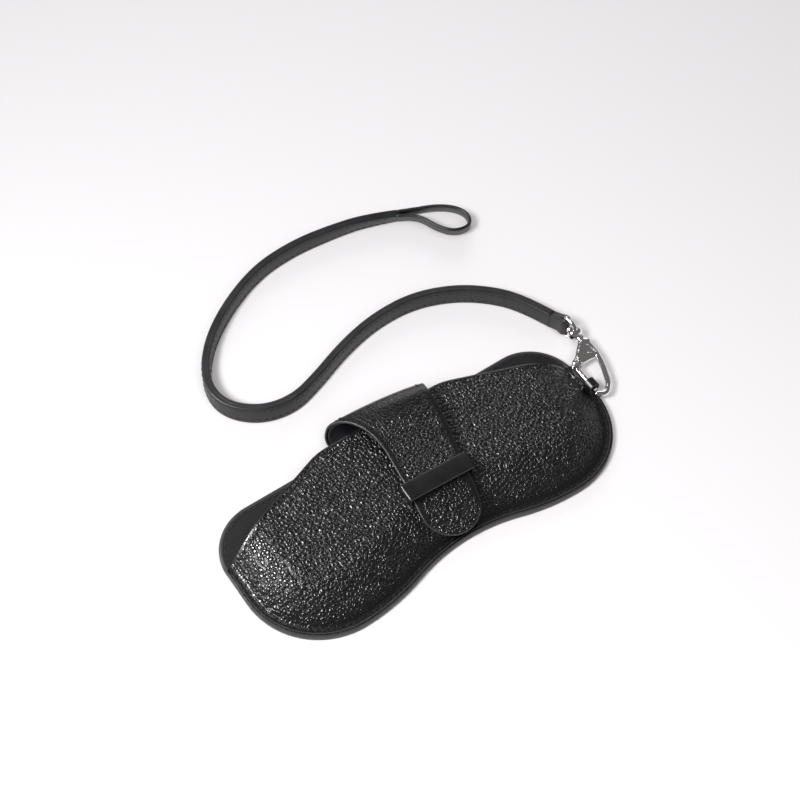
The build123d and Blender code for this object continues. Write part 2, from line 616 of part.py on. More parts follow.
def strap_nodes():
    """Two leather strips sewn together, the fold round the ring and the end loop."""
    nodes = {}
    z_middle = STRAP_FLOOR_GAP + STRAP_WIDTH / 2
    path = route_path(STRAP_ROUTE, z_middle)
    nodes["strap_outer"] = strip(path, 0, STRAP_LAYER, STRAP_WIDTH, z_middle)
    nodes["strap_inner"] = strip(path, -STRAP_LAYER, 0, STRAP_WIDTH, z_middle)
    print(f"strap length {path.length:.1f}")
    seams = []
    for z in (STRAP_FLOOR_GAP + STRAP_SEAM_INSET, STRAP_FLOOR_GAP + STRAP_WIDTH - STRAP_SEAM_INSET):
        seams.append(strip(path, STRAP_LAYER, STRAP_LAYER + STRAP_THREAD, STITCH_WIDTH, z))
        seams.append(strip(path, -STRAP_LAYER - STRAP_THREAD, -STRAP_LAYER, STITCH_WIDTH, z))
    nodes["strap_stitching"] = Compound(seams)

    loop_path = route_path(LOOP_ROUTE, z_middle)
    shift = STRAP_LAYER / 2
    nodes["strap_loop"] = strip(loop_path, -shift, shift, STRAP_WIDTH, z_middle)
    print(f"loop length {loop_path.length:.1f}")

    # the fold: two plies side by side from the strap to the ring's bar, and a half turn round it
    bar = on_swivel(D_RING_BAR)
    start = Vector(STRAP_ROUTE[0][0], STRAP_ROUTE[0][1], HOOK_Z)
    toward = start - bar
    length = toward.length
    lay = Plane(origin=bar, x_dir=toward, z_dir=(0, 0, 1))
    height = STRAP_WIDTH
    clear = D_RING_WIRE + 0.08
    outer = clear + STRAP_LAYER
    turn = Cylinder(outer, height)
    plies = Pos(length / 2, 0, 0) * Box(length, 2 * STRAP_LAYER, height)
    hole = Cylinder(clear, height + 1)
    nodes["strap_end_fold"] = lay * (turn + plies - hole)
    return nodes


def main():
    """Build every node and write it."""
    nodes = case_nodes()
    nodes.update(flap_nodes())
    nodes = keeper_nodes(nodes)
    nodes.update(hook_nodes())
    nodes.update(ring_nodes())
    nodes.update(strap_nodes())
    os.makedirs("parts", exist_ok=True)
    for name, shape in nodes.items():
        export_step(shape, f"parts/{name}.step")
    print(len(nodes), "nodes")


main()
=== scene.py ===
"""Looks of the moulded leather slip case: leather shells, edges, threads, strap and snap hook.

Units are metres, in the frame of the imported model: the case lies on its back, +X runs along its length,
+Y points to its mouth and +Z points up.
"""
import json
import math

import bmesh
import bpy
import numpy as np
from mathutils import Matrix, Vector


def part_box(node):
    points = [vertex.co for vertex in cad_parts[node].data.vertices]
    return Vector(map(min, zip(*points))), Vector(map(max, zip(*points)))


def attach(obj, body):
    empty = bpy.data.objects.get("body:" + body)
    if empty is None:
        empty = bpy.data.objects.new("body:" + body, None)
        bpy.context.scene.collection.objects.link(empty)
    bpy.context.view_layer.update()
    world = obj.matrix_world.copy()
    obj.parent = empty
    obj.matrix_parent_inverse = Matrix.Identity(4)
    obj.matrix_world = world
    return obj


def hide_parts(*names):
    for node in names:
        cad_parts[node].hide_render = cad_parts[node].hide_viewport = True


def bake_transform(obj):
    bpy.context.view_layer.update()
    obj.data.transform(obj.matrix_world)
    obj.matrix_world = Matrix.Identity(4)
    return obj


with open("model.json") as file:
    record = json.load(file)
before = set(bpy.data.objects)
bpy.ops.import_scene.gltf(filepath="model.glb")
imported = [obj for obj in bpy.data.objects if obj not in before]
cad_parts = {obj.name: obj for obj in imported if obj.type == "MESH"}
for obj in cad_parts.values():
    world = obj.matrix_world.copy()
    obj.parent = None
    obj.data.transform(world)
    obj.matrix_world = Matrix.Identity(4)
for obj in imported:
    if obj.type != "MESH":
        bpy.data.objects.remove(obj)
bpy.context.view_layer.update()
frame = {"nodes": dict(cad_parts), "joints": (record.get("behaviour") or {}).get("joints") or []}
MM = 0.001

# ---------------------------------------------------------------- camera
CAMERA_AZIMUTH = -35.79
CAMERA_ELEVATION = 56.46
CAMERA_ROLL = 1.14
CAMERA_DISTANCE = 0.5818
CAMERA_TARGET = Vector((0.0166, 0.0406, 0.0))
CAMERA_LENS = 63.0


def make_camera():
    """The camera, looking at the target from its azimuth and elevation."""
    data = bpy.data.cameras.new("camera")
    data.lens = CAMERA_LENS
    camera = bpy.data.objects.new("camera", data)
    bpy.context.scene.collection.objects.link(camera)
    azimuth, elevation = math.radians(CAMERA_AZIMUTH), math.radians(CAMERA_ELEVATION)
    back = Vector((
        math.sin(azimuth) * math.cos(elevation),
        -math.cos(azimuth) * math.cos(elevation),
        math.sin(elevation),
    ))
    turn = back.to_track_quat("Z", "Y")
    roll = Matrix.Rotation(math.radians(CAMERA_ROLL), 3, "Z").to_quaternion()
    camera.rotation_mode = "QUATERNION"
    camera.rotation_quaternion = turn @ roll
    camera.location = CAMERA_TARGET + back * CAMERA_DISTANCE
    data.clip_start, data.clip_end = 0.01, 20.0
    bpy.context.scene.camera = camera
    return back


TO_CAMERA = make_camera()

# ---------------------------------------------------------------- sizes of the case
CASE_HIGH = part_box("back_panel")[1]
HALF_LENGTH = CASE_HIGH.x
BACK_TOP = CASE_HIGH.y
LEATHER = CASE_HIGH.z
LOBE_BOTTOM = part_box("front_panel")[0].y
DOME_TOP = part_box("front_panel")[1].z
LINING_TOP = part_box("back_lining")[1].z

WAIST_BOTTOM = -28.0 * MM
WAIST_RADIUS = 80.0 * MM
LOBE_RADIUS = 90.0 * MM
CORNER_RADIUS = 20.5 * MM
FLANGE_TOP = 4.2 * MM
FLANGE_WIDTH = 3.5 * MM
DOME_WIDTH = 18.5 * MM
DOME_POWER = 0.8
MOUTH_TOP = 31.5 * MM
MOUTH_TOP_HALF = 30.0 * MM
MOUTH_SLOPE = 0.364
MOUTH_BLEND = 4.4 * MM
FRONT_LINING = 0.4 * MM
# the rim gives a little where the snap hook's boss rests over it
HOOK_DENT = 0.26 * MM
HOOK_DENT_SIZE = 3.5 * MM

WAIST_Y = WAIST_BOTTOM - WAIST_RADIUS
LOBE_Y = LOBE_BOTTOM + LOBE_RADIUS
WAIST_ANGLE = math.acos((LOBE_Y - WAIST_Y) / (WAIST_RADIUS + LOBE_RADIUS))
LOBE_X = (WAIST_RADIUS + LOBE_RADIUS) * math.sin(WAIST_ANGLE)
END_RADIUS = HALF_LENGTH - LOBE_X
END_Y = LOBE_BOTTOM + END_RADIUS

STITCH_PITCH = 3.0 * MM
STITCH_LENGTH = 2.3 * MM
THREAD_RADIUS = 0.24 * MM
# sideways slant of a stitch, as a share of its length
SLANT = 0.05

# how far in from the outline and from the mouth's edge the seams run, and the grooves under them
RIM_SEAM = 2.0 * MM
MOUTH_SEAM = 2.4 * MM
RIM_GROOVE = 0.10 * MM
RIM_GROOVE_WIDTH = 0.6 * MM
MOUTH_GROOVE = 0.25 * MM
MOUTH_GROOVE_WIDTH = 0.7 * MM
UNEVEN = 0.22 * MM
BACK_UNEVEN = 0.12 * MM


# ---------------------------------------------------------------- mesh helpers
def make_mesh(name, vertices, faces, materials, face_material=None):
    """A smooth-shaded mesh object; it remembers where each point is at rest, for the grain."""
    mesh = bpy.data.meshes.new(name)
    vertices = np.asarray(vertices, float).reshape(-1, 3)
    mesh.from_pydata(vertices.tolist(), [], [list(map(int, face)) for face in faces])
    rest = mesh.attributes.new("rest", "FLOAT_VECTOR", "POINT")
    rest.data.foreach_set("vector", vertices.astype(np.float32).ravel())
    for material in materials:
        mesh.materials.append(material)
    if face_material is not None:
        mesh.polygons.foreach_set("material_index", np.asarray(face_material, np.int32))
    mesh.polygons.foreach_set("use_smooth", np.ones(len(mesh.polygons), bool))
    mesh.update()
    piece = bpy.data.objects.new(name, mesh)
    bpy.context.scene.collection.objects.link(piece)
    return piece


def unit(vectors):
    """The same vectors with length 1."""
    return vectors / np.maximum(np.linalg.norm(vectors, axis=-1, keepdims=True), 1e-12)


def grid_normals(grid):
    """Unit normals of a grid of points, for rows that run with axis 0 and columns with axis 1."""
    return unit(np.cross(np.gradient(grid, axis=0), np.gradient(grid, axis=1)))


def quads(count_a, count_b, start=0, wrap_b=False, flip=False):
    """Faces between neighbours of a grid whose points are numbered from start."""
    faces = []
    for a in range(count_a - 1):
        for b in range(count_b if wrap_b else count_b - 1):
            after = (b + 1) % count_b
            face = [start + a * count_b + b, start + (a + 1) * count_b + b]
            face += [start + (a + 1) * count_b + after, start + a * count_b + after]
            faces.append(face[::-1] if flip else face)
    return faces


def border(rows, columns):
    """Indices of a grid's border points, once round."""
    first = [(0, j) for j in range(columns)]
    right = [(i, columns - 1) for i in range(1, rows)]
    last = [(rows - 1, j) for j in range(columns - 2, -1, -1)]
    left = [(i, 0) for i in range(rows - 2, 0, -1)]
    return first + right + last + left


def shell(name, grid, thickness, face, edge, bulge=0.5, steps=5, back=None, smooth=None):
    """A sheet of leather: the grid is its outer face, and its cut edges are rounded over.

    The grid's normals point out of the outer face. smooth holds one number a point, 1 where the grain
    is pressed flat.
    """
    rows, columns = grid.shape[:2]
    normals = grid_normals(grid)
    inner = grid - normals * thickness
    ring = border(rows, columns)
    outer_ring = np.array([grid[i, j] for i, j in ring])
    ring_normals = np.array([normals[i, j] for i, j in ring])
    along = unit(np.roll(outer_ring, -1, axis=0) - np.roll(outer_ring, 1, axis=0))
    outward = unit(np.cross(along, ring_normals))
    centre = grid.reshape(-1, 3).mean(axis=0)
    if ((outer_ring - centre) * outward).sum() < 0:
        outward = -outward
    vertices = [grid.reshape(-1, 3), inner.reshape(-1, 3)]
    for step in range(1, steps):
        angle = math.pi * step / steps
        depth = ring_normals * thickness * (1 - math.cos(angle)) / 2
        vertices.append(outer_ring - depth + outward * thickness * bulge * math.sin(angle))
    count = rows * columns
    faces = quads(rows, columns) + quads(rows, columns, count, flip=True)
    plain = len(faces)
    numbers = [[i * columns + j for i, j in ring]]
    for step in range(steps - 1):
        numbers.append([2 * count + step * len(ring) + k for k in range(len(ring))])
    numbers.append([count + i * columns + j for i, j in ring])
    for low, high in zip(numbers, numbers[1:]):
        for k in range(len(ring)):
            after = (k + 1) % len(ring)
            faces.append([low[k], low[after], high[after], high[k]])
    kinds = [0] * (plain // 2) + [2 if back else 0] * (plain // 2) + [1] * (len(faces) - plain)
    materials = [face, edge] + ([back] if back else [])
    piece = make_mesh(name, np.concatenate(vertices), faces, materials, kinds)
    if smooth is not None:
        flat = smooth.reshape(-1)
        on_ring = np.array([smooth[i, j] for i, j in ring])
        add_number(piece, "smooth", np.concatenate([flat, flat] + [on_ring] * (steps - 1)))
    fix_winding(piece)
    return piece


def fix_winding(piece):
    """Turns all faces outwards."""
    work = bmesh.new()
    work.from_mesh(piece.data)
    bmesh.ops.recalc_face_normals(work, faces=work.faces)
    work.to_mesh(piece.data)
    work.free()


def add_number(piece, name, values):
    """Stores one number a point."""
    attribute = piece.data.attributes.new(name, "FLOAT", "POINT")
    attribute.data.foreach_set("value", np.asarray(values, np.float32))


def spline_points(points, resolution=12):
    """Points along the NURBS spline that has the given control points."""
    data = bpy.data.curves.new("route", "CURVE")
    data.dimensions = "3D"
    data.resolution_u = resolution
    spline = data.splines.new("NURBS")
    spline.points.add(len(points) - 1)
    for place, point in zip(spline.points, points):
        place.co = (*point, 1.0)
    spline.order_u = 3
    spline.use_endpoint_u = True
    holder = bpy.data.objects.new("route", data)
    bpy.context.scene.collection.objects.link(holder)
    mesh = bpy.data.meshes.new_from_object(holder)
    line = np.array([vertex.co[:] for vertex in mesh.vertices])
    bpy.data.objects.remove(holder)
    bpy.data.curves.remove(data)
    bpy.data.meshes.remove(mesh)
    return line


def lengths(line):
    """Length along a line at each of its points."""
    steps = np.linalg.norm(np.diff(line, axis=0), axis=1)
    return np.concatenate([[0.0], np.cumsum(steps)])


def along_line(line, places):
    """Points of a line at the given lengths along it."""
    at = lengths(line)
    return np.stack([np.interp(places, at, line[:, k]) for k in range(3)], axis=-1)


def sweep(name, centres, sideways, upright, section, materials, pared=0.0):
    """A solid whose section of (sideways, upright) points follows a line, with flat capped ends.

    pared is the share of its thickness that the last end loses.
    """
    section = np.asarray(section)
    at = lengths(centres)
    loss = np.clip(1 - (at[-1] - at) / PARED, 0, 1)[:, None, None] * pared
    across = sideways[:, None, :] * section[None, :, 0:1] * (1 - loss)
    up = upright[:, None, :] * section[None, :, 1:2] * (1 - 0.15 * loss)
    grid = centres[:, None, :] + across + up
    rows, columns = grid.shape[:2]
    faces = quads(rows, columns, wrap_b=True)
    faces.append(list(range(columns)))
    faces.append(list(range((rows - 1) * columns, rows * columns)))
    piece = make_mesh(name, grid.reshape(-1, 3), faces, materials)
    fix_winding(piece)
    return piece


def rounded_section(width, height, radii, crown=0.0, steps=4):
    """A rounded rectangle, width sideways and height upright, with four corner radii.

    The corners are in order: right top, left top, left bottom, right bottom.
    """
    points = []
    signs = [(1, 1, 0), (-1, 1, 90), (-1, -1, 180), (1, -1, 270)]
    for (side, up, first), radius in zip(signs, radii):
        middle = (side * (width / 2 - radius), up * (height / 2 - radius))
        for step in range(steps + 1):
            angle = math.radians(first + 90 * step / steps)
            points.append((middle[0] + radius * math.cos(angle), middle[1] + radius * math.sin(angle)))
        if crown and first in (90, 270):
            points.append((side * (width / 2 + crown), 0.0))
    return points


def thread_row(places, thick):
    """Vertices and faces of thread bridges; places are (middle, direction, normal, length)."""
    rings, sides = 7, 6
    vertices, faces = [], []
    for middle, direction, normal, length in places:
        side = np.cross(normal, direction)
        start = len(vertices)
        for ring in range(rings):
            part = 2 * ring / (rings - 1) - 1
            lift = thick * (0.45 - 1.4 * part ** 4)
            radius = thick * (1 - 0.3 * part ** 4)
            for turn in range(sides):
                angle = 2 * math.pi * turn / sides
                point = middle + direction * (part * length / 2) + normal * lift
                point = point + side * (radius * math.cos(angle)) + normal * (radius * math.sin(angle))
                vertices.append(point)
        faces += quads(rings, sides, start, wrap_b=True)
        faces.append(list(range(start, start + sides)))
        faces.append(list(range(start + (rings - 1) * sides, start + rings * sides)))
    return vertices, faces


def stitches_along(line, normals, skew=0.0, pitch=STITCH_PITCH, length=STITCH_LENGTH):
    """Places of stitches at an even pitch on a line that has a normal at each point."""
    total = lengths(line)[-1]
    count = int(total / pitch)
    middles = (total - count * pitch) / 2 + (np.arange(count) + 0.5) * pitch
    places = []
    at = lengths(line)
    for middle in middles:
        before, here, after = along_line(line, np.array([middle - length / 2, middle, middle + length / 2]))
        normal = unit(np.array([np.interp(middle, at, normals[:, k]) for k in range(3)]))
        direction = unit(after - before)
        side = np.cross(normal, direction)
        direction = unit(direction + skew * side)
        places.append(((before + after) / 2 * 0.5 + here * 0.5, direction, unit(normal), length))
    return places


def stitching(name, places, material, thick=THREAD_RADIUS):
    """One piece of thread stitches."""
    vertices, faces = thread_row(places, thick)
    piece = make_mesh(name, vertices, faces, [material])
    fix_winding(piece)
    return piece


def hand_over(piece, body, slot, *nodes):
    """The piece rides on a body and stands for CAD nodes, which it hides; slot is not used."""
    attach(piece, body)
    if nodes:
        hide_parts(*nodes)
    return piece


# ---------------------------------------------------------------- materials
class Shader:
    """A material whose nodes are added and linked with short calls."""

    def __init__(self, name):
        self.material = bpy.data.materials.new(name)
        self.material.use_nodes = True
        self.tree = self.material.node_tree
        self.surface = self.tree.nodes["Principled BSDF"]

    def add(self, kind, inputs=None, output=0, **settings):
        """A new node's output, with its inputs linked or set."""
        node = self.tree.nodes.new(kind)
        for key, value in settings.items():
            setattr(node, key, value)
        for key, value in (inputs or {}).items():
            self.put(node.inputs[key], value)
        return node.outputs[output]

    def put(self, socket, value):
        """Links or sets one socket."""
        if isinstance(value, bpy.types.NodeSocket):
            self.tree.links.new(value, socket)
        else:
            socket.default_value = value

    def set(self, **values):
        """Sets or links the surface's own sockets, with spaces written as underscores."""
        for key, value in values.items():
            self.put(self.surface.inputs[key.replace("_", " ")], value)

    def math(self, operation, a, b=0.0):
        """One arithmetic step."""
        return self.add("ShaderNodeMath", {0: a, 1: b}, operation=operation)

    def ease(self, value, low, high, out_low=0.0, out_high=1.0):
        """Value mapped smoothly from one range to another."""
        inputs = {"Value": value, "From Min": low, "From Max": high, "To Min": out_low, "To Max": out_high}
        return self.add("ShaderNodeMapRange", inputs, interpolation_type="SMOOTHSTEP")

    def mix(self, factor, colour_a, colour_b):
        """Two colours mixed."""
        inputs = {0: factor, 6: colour_a, 7: colour_b}
        return self.add("ShaderNodeMix", inputs, output=2, data_type="RGBA")

    def place(self, scale, stretch=(1.0, 1.0, 1.0), attribute=True):
        """Rest position in units of scale."""
        if attribute:
            where = self.add("ShaderNodeAttribute", output=1, attribute_name="rest")
        else:
            where = self.add("ShaderNodeTexCoord", output=3)
        size = [part / scale for part in stretch]
        return self.add("ShaderNodeMapping", {0: where, 3: size})

    def noise(self, place, scale, detail=3.0, roughness=0.5):
        """Noise from 0 to 1."""
        inputs = {"Vector": place, "Scale": scale, "Detail": detail, "Roughness": roughness}
        return self.add("ShaderNodeTexNoise", inputs)

    def bump(self, height, depth, strength=1.0, under=None):
        """A normal from a height that runs from 0 to 1 over depth metres."""
        inputs = {"Height": height, "Distance": depth, "Strength": strength}
        if under is not None:
            inputs["Normal"] = under
        return self.add("ShaderNodeBump", inputs)


def pebbled_leather(name, cell, depth, stretch=(1.0, 1.0, 1.0)):
    """Black leather with rounded pebbles and creases between them, with painted shade that darkens the
    creases; pressed flat where smooth is 1.
    """
    s = Shader(name)
    place = s.place(cell, stretch)
    wander = s.add("ShaderNodeTexNoise", {"Vector": place, "Scale": 0.35, "Detail": 2.0}, output=1)
    bent = s.add("ShaderNodeVectorMath", {0: wander, 1: (0.5, 0.5, 0.5)}, operation="SUBTRACT")
    bent = s.add("ShaderNodeVectorMath", {0: bent, 3: 1.6}, operation="SCALE")
    bent = s.add("ShaderNodeVectorMath", {0: place, 1: bent}, operation="ADD")
    cells = s.add(
        "ShaderNodeTexVoronoi", {"Vector": bent, "Scale": 1.0, "Randomness": 0.8, "Smoothness": 0.25},
        feature="SMOOTH_F1",
    )
    crease = s.add(
        "ShaderNodeTexVoronoi", {"Vector": bent, "Scale": 1.0, "Randomness": 0.8}, feature="DISTANCE_TO_EDGE"
    )
    wall = s.ease(crease, 0.0, 0.20)
    away = s.math("MULTIPLY", cells, cells)
    dome = s.ease(away, 0.55, 0.0)
    fine = s.noise(place, 4.0, 3.0, 0.5)
    height = s.math("ADD", s.math("MULTIPLY", wall, 0.30), s.math("MULTIPLY", dome, 0.70))
    height = s.math("ADD", height, s.math("MULTIPLY", fine, 0.05))
    pressed = s.add("ShaderNodeAttribute", output=2, attribute_name="smooth")
    strength = s.ease(pressed, 0.0, 1.0, 1.0, 0.12)
    s.set(Normal=s.bump(height, depth, strength))
    patches = s.noise(place, 0.05, 3.0, 0.6)
    tone = s.mix(patches, (0.0030, 0.0030, 0.0035, 1), (0.0065, 0.0062, 0.0070, 1))
    # painted shade: the base colour is made darker down in the creases between the pebbles, where shade
    # falls
    s.set(Base_Color=s.mix(wall, (0.0012, 0.0012, 0.0014, 1), tone))
    rough = s.ease(fine, 0.25, 0.75, 0.20, 0.30)
    worn = s.ease(wall, 0.2, 1.0, 0.42, 0.0)
    s.set(Roughness=s.math("MAXIMUM", rough, worn), Specular_IOR_Level=0.6)
    return s.material


def smooth_leather(name, dark, light, rough, depth):
    """Black leather with a close fine grain."""
    s = Shader(name)
    place = s.place(1 * MM)
    grain = s.add("ShaderNodeTexVoronoi", {"Vector": place, "Scale": 1.7}, feature="SMOOTH_F1")
    fine = s.noise(place, 3.0, 5.0, 0.65)
    broad = s.noise(place, 0.12, 3.0, 0.55)
    height = s.math("ADD", s.math("MULTIPLY", grain, 0.6), s.math("MULTIPLY", fine, 0.5))
    s.set(Normal=s.bump(height, depth))
    s.set(Base_Color=s.mix(s.ease(broad, 0.3, 0.7), (*dark, 1), (*light, 1)))
    wear = s.math("ADD", fine, s.math("MULTIPLY", broad, 0.5))
    s.set(Roughness=s.ease(wear, 0.4, 1.1, rough - 0.08, rough + 0.1))
    return s.material


def edge_paint(name):
    """Burnished dark grey paint on cut edges."""
    s = Shader(name)
    place = s.place(1 * MM)
    waves = s.noise(place, 0.6, 4.0, 0.6)
    fine = s.noise(place, 5.0, 3.0, 0.5)
    s.set(Base_Color=s.mix(waves, (0.018, 0.018, 0.019, 1), (0.036, 0.035, 0.037, 1)))
    s.set(Roughness=s.ease(waves, 0.3, 0.7, 0.42, 0.58))
    s.set(Normal=s.bump(s.math("ADD", waves, s.math("MULTIPLY", fine, 0.25)), 0.06 * MM))
    return s.material


def suede(name):
    """Close black lining leather with a soft nap."""
    s = Shader(name)
    place = s.place(1 * MM)
    nap = s.noise(place, 4.0, 5.0, 0.7)
    broad = s.noise(place, 0.1, 3.0, 0.6)
    s.set(Base_Color=s.mix(s.ease(broad, 0.3, 0.7), (0.004, 0.004, 0.005, 1), (0.009, 0.008, 0.010, 1)))
    s.set(Roughness=s.ease(nap, 0.2, 0.8, 0.62, 0.85), Normal=s.bump(nap, 0.09 * MM))
    s.set(Sheen_Weight=0.06, Sheen_Roughness=0.5, Specular_IOR_Level=0.25)
    return s.material


def thread(name, dark, light):
    """Twisted thread with a low sheen."""
    s = Shader(name)
    place = s.place(1 * MM)
    ply = s.add(
        "ShaderNodeTexWave", {"Vector": place, "Scale": 1.6, "Distortion": 1.2, "Detail": 1.0},
        bands_direction="DIAGONAL",
    )
    fuzz = s.noise(place, 6.0, 3.0, 0.6)
    s.set(Base_Color=s.mix(ply, (*dark, 1), (*light, 1)))
    s.set(Roughness=s.ease(fuzz, 0.2, 0.8, 0.38, 0.55), Normal=s.bump(ply, 0.10 * MM))
    return s.material


def chrome(name, tint, rough):
    """Polished plating with faint casting waves and finger haze."""
    s = Shader(name)
    place = s.place(1 * MM, attribute=False)
    waves = s.noise(place, 0.35, 2.0, 0.5)
    haze = s.noise(place, 1.3, 4.0, 0.6)
    s.set(Base_Color=s.mix(haze, (*tint, 1), (0.93, 0.91, 0.89, 1)), Metallic=1.0)
    s.set(Roughness=s.ease(haze, 0.3, 0.8, rough, rough + 0.12), Normal=s.bump(waves, 0.30 * MM))
    return s.material


def board(name):
    """Grey fibre board."""
    s = Shader(name)
    place = s.place(1 * MM, attribute=False)
    fibres = s.noise(place, 1.5, 5.0, 0.7)
    s.set(Base_Color=s.mix(fibres, (0.06, 0.055, 0.05, 1), (0.14, 0.13, 0.12, 1)))
    s.set(Roughness=s.ease(fibres, 0.2, 0.8, 0.8, 0.95), Normal=s.bump(fibres, 0.05 * MM))
    return s.material


BODY_LEATHER = pebbled_leather("pebbled_leather", 1.40 * MM, 0.42 * MM, (1.0, 0.82, 1.0))
FLAP_LEATHER = pebbled_leather("flap_leather", 1.35 * MM, 0.38 * MM, (0.9, 1.0, 1.0))
STRAP_LEATHER = smooth_leather(
    "strap_leather", (0.008, 0.008, 0.009), (0.015, 0.014, 0.016), 0.44, 0.07 * MM
)
KEEPER_LEATHER = smooth_leather(
    "keeper_leather", (0.003, 0.003, 0.0035), (0.006, 0.006, 0.007), 0.34, 0.05 * MM
)
EDGE = edge_paint("edge_paint")
LINING = suede("lining")
THREAD = thread("thread", (0.008, 0.008, 0.009), (0.022, 0.021, 0.023))
STRAP_THREAD = thread("strap_thread", (0.014, 0.014, 0.015), (0.030, 0.029, 0.031))
CHROME = chrome("chrome", (0.80, 0.78, 0.77), 0.07)
STEEL = chrome("steel", (0.52, 0.51, 0.50), 0.22)
BOARD = board("board")

# ---------------------------------------------------------------- strap and its loop
STRAP_WIDTH = 8.6 * MM
PLY = 1.7 * MM
FLOOR_GAP = 0.1 * MM
SEAM_INSET = 1.7 * MM
STRAP_THREAD_RADIUS = 0.17 * MM
STRAP_SLANT = 0.06
STRAP_ROUTE = [
    (0.0924, 0.0356), (0.0872, 0.0495), (0.0782, 0.0612), (0.0650, 0.0712), (0.0475, 0.0774),
    (0.0280, 0.0772), (0.0090, 0.0723), (-0.0085, 0.0650), (-0.0225, 0.0606), (-0.0370, 0.0638),
    (-0.0476, 0.0750), (-0.0476, 0.0895), (-0.0375, 0.1048), (-0.0210, 0.1180), (0.0005, 0.1286),
    (0.0205, 0.1314), (0.0400, 0.1302), (0.0580, 0.1276), (0.0735, 0.1216),
]
LOOP_ROUTE = [
    (0.0718, 0.1223), (0.0748, 0.1213), (0.0815, 0.1196), (0.0905, 0.1156), (0.0972, 0.1090),
    (0.0982, 0.1022), (0.0938, 0.0982), (0.0868, 0.0998), (0.0826, 0.1060), (0.0804, 0.1130),
    (0.0776, 0.1172), (0.0746, 0.1203), (0.0714, 0.1222),
]
# the plies lose this share of their thickness over this length at their ends, round the loop's ends
PARED_SHARE = 0.4
PARED = 3.0 * MM
# the loop's section, as shares of one ply's, and the rows over which its two legs part
LOOP_THICK_SHARE = 0.84
LOOP_WIDE_SHARE = 0.97
PARTING_START = 1.25
PARTING_ROWS = 8.0
# how far the strap's top leans towards the viewer, as a slope, at shares of its length
LEAN = [(0.0, 0.0), (0.25, -0.04), (0.42, -0.16), (0.55, -0.10), (0.70, 0.0), (0.86, 0.12), (1.0, 0.50)]
HORIZONTAL_TO_CAMERA = unit(np.array([TO_CAMERA.x, TO_CAMERA.y, 0.0]))


def even_line(line, step):
    """The line again with points an even step apart."""
    total = lengths(line)[-1]
    return along_line(line, np.linspace(0, total, int(total / step) + 1))


def ease_between(shares, table):
    """Values of a table of (share, value), eased between its entries."""
    places = [place for place, _ in table]
    values = np.interp(shares, places, [value for _, value in table])
    kernel = np.hanning(25)
    padded = np.pad(values, 12, mode="edge")
    return np.convolve(padded, kernel / kernel.sum(), mode="valid")


def strap_frame(route, lean):
    """Centre points of an upright strip, with its sideways and upright directions."""
    control = [(x, y, STRAP_WIDTH / 2) for x, y in route]
    ground = even_line(spline_points(control, 24), 1.0 * MM)
    shares = np.linspace(0, 1, len(ground))
    slope = ease_between(shares, lean) if lean is not None else np.full(len(ground), LEAN[-1][1])
    up = unit(np.array([0, 0, 1.0]) + slope[:, None] * HORIZONTAL_TO_CAMERA)
    along = unit(np.gradient(ground, axis=0))
    side = unit(np.cross(up, along))
    centres = ground + up * (STRAP_WIDTH / 2)
    centres[:, 2] = FLOOR_GAP + up[:, 2] * STRAP_WIDTH / 2 + np.abs(side[:, 2]) * PLY
    return centres, side, up


def make_strap():
    """The two plies of the strap with their seams, the end loop and the fold at the ring."""
    centres, side, up = strap_frame(STRAP_ROUTE, LEAN)
    soft, tight = 0.55 * MM, 0.12 * MM
    left = rounded_section(PLY, STRAP_WIDTH, (tight, soft, soft, tight), 0.06 * MM)
    right = rounded_section(PLY, STRAP_WIDTH, (soft, tight, tight, soft), 0.06 * MM)
    outer = sweep("strap_outer_ply", centres + side * PLY / 2, side, up, right, [STRAP_LEATHER], PARED_SHARE)
    inner = sweep("strap_inner_ply", centres - side * PLY / 2, side, up, left, [STRAP_LEATHER], PARED_SHARE)
    hand_over(outer, "strap", "smooth_leather", "strap_outer")
    hand_over(inner, "strap", "smooth_leather", "strap_inner")

    places = []
    for height in (SEAM_INSET - STRAP_WIDTH / 2, STRAP_WIDTH / 2 - SEAM_INSET):
        for sign in (-1, 1):
            line = centres + up * height + side * sign * PLY
            places += stitches_along(line[4:-6], side[4:-6] * sign, STRAP_SLANT)
    seam = stitching("strap_seams", places, STRAP_THREAD, STRAP_THREAD_RADIUS)
    hand_over(seam, "strap", "thread", "strap_stitching")

    loop_centres, loop_side, loop_up = strap_frame(LOOP_ROUTE, None)
    count = len(loop_centres)
    near_start = np.clip(PARTING_START - np.arange(count) / PARTING_ROWS, 0, 1)
    near_end = near_start[::-1]
    shift = (near_start * PLY / 2 + near_end * PLY / 2)[:, None] * loop_side
    ribbon = rounded_section(LOOP_THICK_SHARE * PLY, LOOP_WIDE_SHARE * STRAP_WIDTH, (soft,) * 4, 0.04 * MM)
    loop = sweep("strap_end_loop", loop_centres + shift, loop_side, loop_up, ribbon, [STRAP_LEATHER])
    hand_over(loop, "strap", "smooth_leather", "strap_loop")

    fold = make_ring_fold(centres[0])


